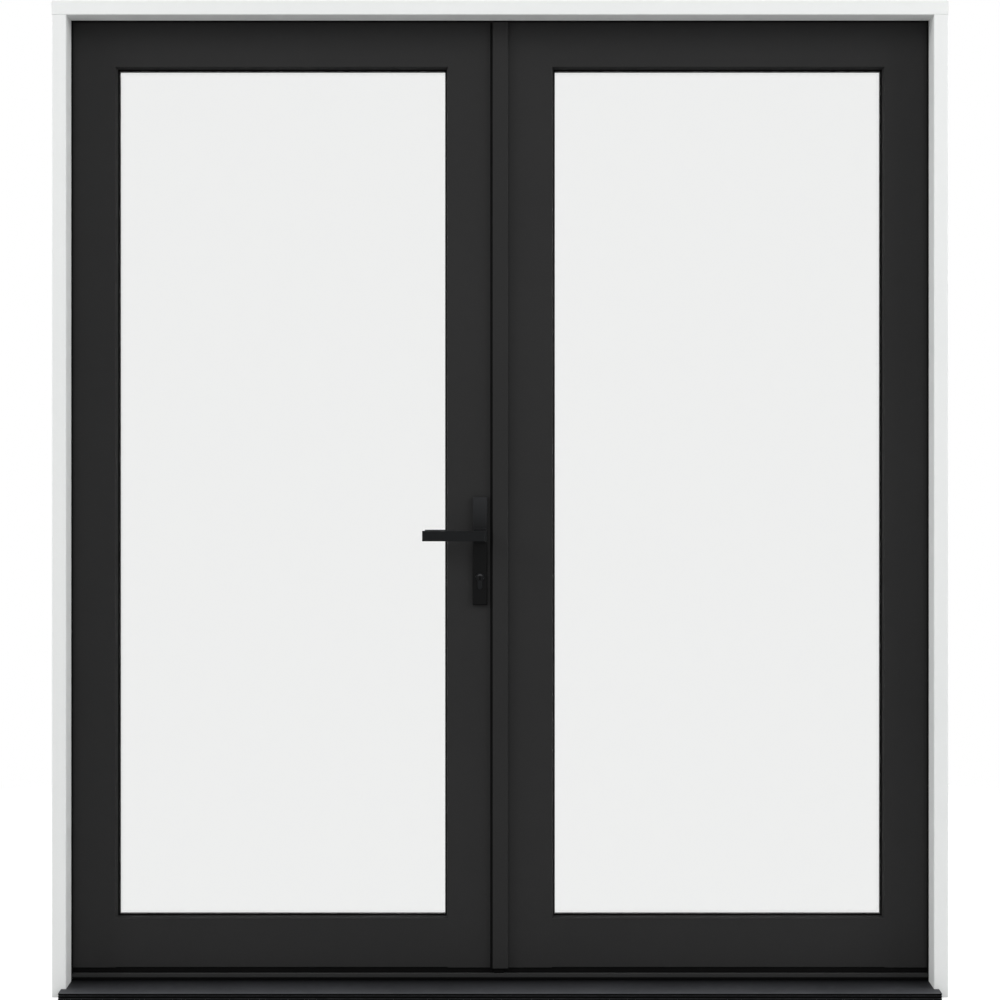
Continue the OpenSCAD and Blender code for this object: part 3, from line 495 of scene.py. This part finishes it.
def hinge_screw_places(side, leaf):
    outward = -1 if side == "left" else 1
    facing = (-outward, 0, 0) if leaf == "frame" else (outward, 0, 0)
    places = []
    for level in ("top", "mid", "low"):
        low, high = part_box(f"{side}_{level}_{leaf}_leaf")
        for number, (share, inset) in enumerate(LEAF_SCREWS):
            height = low.z + share * (high.z - low.z)
            point = Vector((outward * LEAF_FACE[leaf], LEAF_EDGE_Y - inset, height))
            places.append((point - Vector(facing) * SCREW_SUNK, facing, 23 * number + 11))
    return places


def add_hinge_screws():
    model = countersunk_screw(0.0041, 0.0023)
    for side, panel in (("left", "active_panel"), ("right", "passive_panel")):
        for leaf, body in (("frame", "frame"), ("panel", panel)):
            places = hinge_screw_places(side, leaf)
            name = f"{side}_{leaf}_hinge_screw"
            drive_screws(name, model, places, body, hinge_black)


# The plates on the panels' meeting edges: their outer faces, and the Y of their middles
EDGE_PLATE_FACE = 0.0021
LOCK_PLATE_Y = 0.0295
FLUSH_PLATE_Y = 0.044


def add_edge_plate_screws():
    model = countersunk_screw(0.0039, 0.0019)
    low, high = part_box("lock_faceplate")
    heights = (low.z + 0.010, high.z - 0.010)
    places = [((-EDGE_PLATE_FACE, LOCK_PLATE_Y, z), (1, 0, 0), 20) for z in heights]
    drive_screws("faceplate_screw", model, places, "active_panel", brushed_steel)
    low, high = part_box("strike_plate")
    heights = (low.z + 0.009, high.z - 0.009)
    places = [((EDGE_PLATE_FACE, LOCK_PLATE_Y, z), (-1, 0, 0), 50) for z in heights]
    drive_screws("strike_screw", model, places, "passive_panel", brushed_steel)
    low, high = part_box("flush_bolt_plates")
    half_plate = 0.055
    from_middle = 0.044
    middles = (low.z + half_plate, high.z - half_plate)
    heights = [middle + step for middle in middles for step in (-from_middle, from_middle)]
    places = [((EDGE_PLATE_FACE, FLUSH_PLATE_Y, z), (-1, 0, 0), 35) for z in heights]
    drive_screws("flush_plate_screw", model, places, "passive_panel", brushed_steel)


# The face of the key plug: a shallow dished disc with the slot for the key
def add_key_plug():
    low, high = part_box("key_cylinder")
    radius = 0.0061
    proud = 0.0003
    middle = Vector(((low.x + high.x) / 2, low.y, high.z - 0.0085))
    slot_size = (0.0018, 0.0030, 0.0088)
    slot_drop = Vector((0, 0, -0.0016))
    bpy.ops.object.select_all(action="DESELECT")
    bpy.ops.mesh.primitive_cylinder_add(
        vertices=48, radius=radius, depth=2 * proud, location=middle, rotation=(math.pi / 2, 0, 0)
    )
    plug = bpy.context.object
    plug.name = "key_plug"
    bpy.ops.object.transform_apply(location=True, rotation=True)
    bpy.ops.object.mode_set(mode="EDIT")
    bpy.ops.mesh.select_all(action="DESELECT")
    bpy.ops.object.mode_set(mode="OBJECT")
    for face in plug.data.polygons:
        face.select = face.normal.y < -0.9
    bpy.ops.object.mode_set(mode="EDIT")
    bpy.ops.mesh.inset(thickness=radius * 0.16)
    bpy.ops.mesh.inset(thickness=radius * 0.1, depth=-proud * 0.5)
    bpy.ops.object.mode_set(mode="OBJECT")
    cut_and_soften(plug, block(middle + slot_drop, slot_size), 0.0001)
    plug.data.materials.clear()
    plug.data.materials.append(plug_nickel)
    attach(plug, "active_panel")


# Light: four broad soft panels, two of them at the sides, in an even pale surround
LAMP_AIM = Vector((0, 0, 1.0))
LAMPS = (
    ("left_panel", (-5.5, -1.5, 3.5), (3.6, 3.6), 205),
    ("right_panel", (5.2, -1.9, 3.5), (3.6, 3.6), 190),
    ("front_panel", (0, -4.2, 4.8), (3.6, 3.0), 60),
    ("inside_panel", (0.6, 4.8, 4.2), (3.2, 2.4), 140),
)


def hang_lamps():
    for name, place, size, power in LAMPS:
        data = bpy.data.lights.new(name, "AREA")
        data.shape = "RECTANGLE"
        data.size = size[0]
        data.size_y = size[1]
        data.energy = power
        lamp = bpy.data.objects.new(name, data)
        lamp.location = place
        lamp.rotation_euler = (LAMP_AIM - Vector(place)).to_track_quat("-Z", "Y").to_euler()
        scene.collection.objects.link(lamp)


# White to the camera and in reflections, and weaker where it only lights the doors
def set_surround():
    lighting_strength = 0.48
    seen_strength = 1.0
    world = bpy.data.worlds.new("pale_surround")
    world.use_nodes = True
    scene.world = world
    tree = world.node_tree
    background = tree.nodes["Background"]
    background.inputs["Color"].default_value = WHITE
    path = node_at(tree, "ShaderNodeLightPath", -900, 0)
    through = node_at(tree, "ShaderNodeMath", -650, 100, operation="MAXIMUM")
    seen = node_at(tree, "ShaderNodeMath", -500, 0, operation="MAXIMUM")
    strength = node_at(tree, "ShaderNodeMix", -300, 0, data_type="FLOAT")
    strength.inputs[2].default_value = lighting_strength
    strength.inputs[3].default_value = seen_strength
    link = tree.links.new
    link(path.outputs["Is Glossy Ray"], through.inputs[0])
    link(path.outputs["Is Transmission Ray"], through.inputs[1])
    link(path.outputs["Is Camera Ray"], seen.inputs[0])
    link(through.outputs["Value"], seen.inputs[1])
    link(seen.outputs["Value"], strength.inputs[0])
    link(strength.outputs[0], background.inputs["Strength"])


# White under the camera, with the shadow of the doors on it, and plain white further away
def floor_material():
    camera_lift = 0.6
    fade_from, fade_to = 1.6, 3.4
    material, tree, shader = new_material("pale_floor")
    shader.inputs["Base Color"].default_value = (0.62, 0.62, 0.62, 1)
    shader.inputs["Roughness"].default_value = 0.9
    shader.inputs["Specular IOR Level"].default_value = 0.1
    path = node_at(tree, "ShaderNodeLightPath", -900, 200)
    lift = node_at(tree, "ShaderNodeMath", -650, -200, operation="MULTIPLY")
    lift.inputs[1].default_value = camera_lift
    glow = node_at(tree, "ShaderNodeEmission", -300, -300)
    lit = node_at(tree, "ShaderNodeAddShader", 0, 0)
    through = node_at(tree, "ShaderNodeMath", -650, 200, operation="MAXIMUM")
    place = node_at(tree, "ShaderNodeTexCoord", -1100, 450)
    away = node_at(tree, "ShaderNodeVectorMath", -900, 450, operation="LENGTH")
    fade = range_node(tree, -650, 450, 0, 1, (fade_from, fade_to))
    far = node_at(tree, "ShaderNodeMath", -500, 450, operation="MULTIPLY")
    plain = node_at(tree, "ShaderNodeMath", -400, 300, operation="MAXIMUM")
    white = node_at(tree, "ShaderNodeEmission", 0, -300)
    white.inputs["Strength"].default_value = 1.0
    blend = node_at(tree, "ShaderNodeMixShader", 250, 100)
    link = tree.links.new
    link(path.outputs["Is Camera Ray"], lift.inputs[0])
    link(lift.outputs["Value"], glow.inputs["Strength"])
    link(shader.outputs["BSDF"], lit.inputs[0])
    link(glow.outputs["Emission"], lit.inputs[1])
    link(path.outputs["Is Glossy Ray"], through.inputs[0])
    link(path.outputs["Is Transmission Ray"], through.inputs[1])
    link(place.outputs["Object"], away.inputs[0])
    link(away.outputs["Value"], fade.inputs["Value"])
    link(fade.outputs["Result"], far.inputs[0])
    link(path.outputs["Is Camera Ray"], far.inputs[1])
    link(far.outputs["Value"], plain.inputs[0])
    link(through.outputs["Value"], plain.inputs[1])
    link(plain.outputs["Value"], blend.inputs["Fac"])
    link(lit.outputs["Shader"], blend.inputs[1])
    link(white.outputs["Emission"], blend.inputs[2])
    link(blend.outputs["Shader"], tree.nodes["Material Output"].inputs["Surface"])
    return material


def lay_floor():
    bpy.ops.object.select_all(action="DESELECT")
    bpy.ops.mesh.primitive_plane_add(size=24, location=(0, 0, -0.0005))
    floor = bpy.context.object
    floor.name = "pale_floor"
    bpy.ops.object.transform_apply(location=True)
    floor.data.materials.append(floor_material())


place_camera()
finish_nodes()
soften_edges()
add_hinge_screws()
add_edge_plate_screws()
add_key_plug()
hang_lamps()
set_surround()
lay_floor()
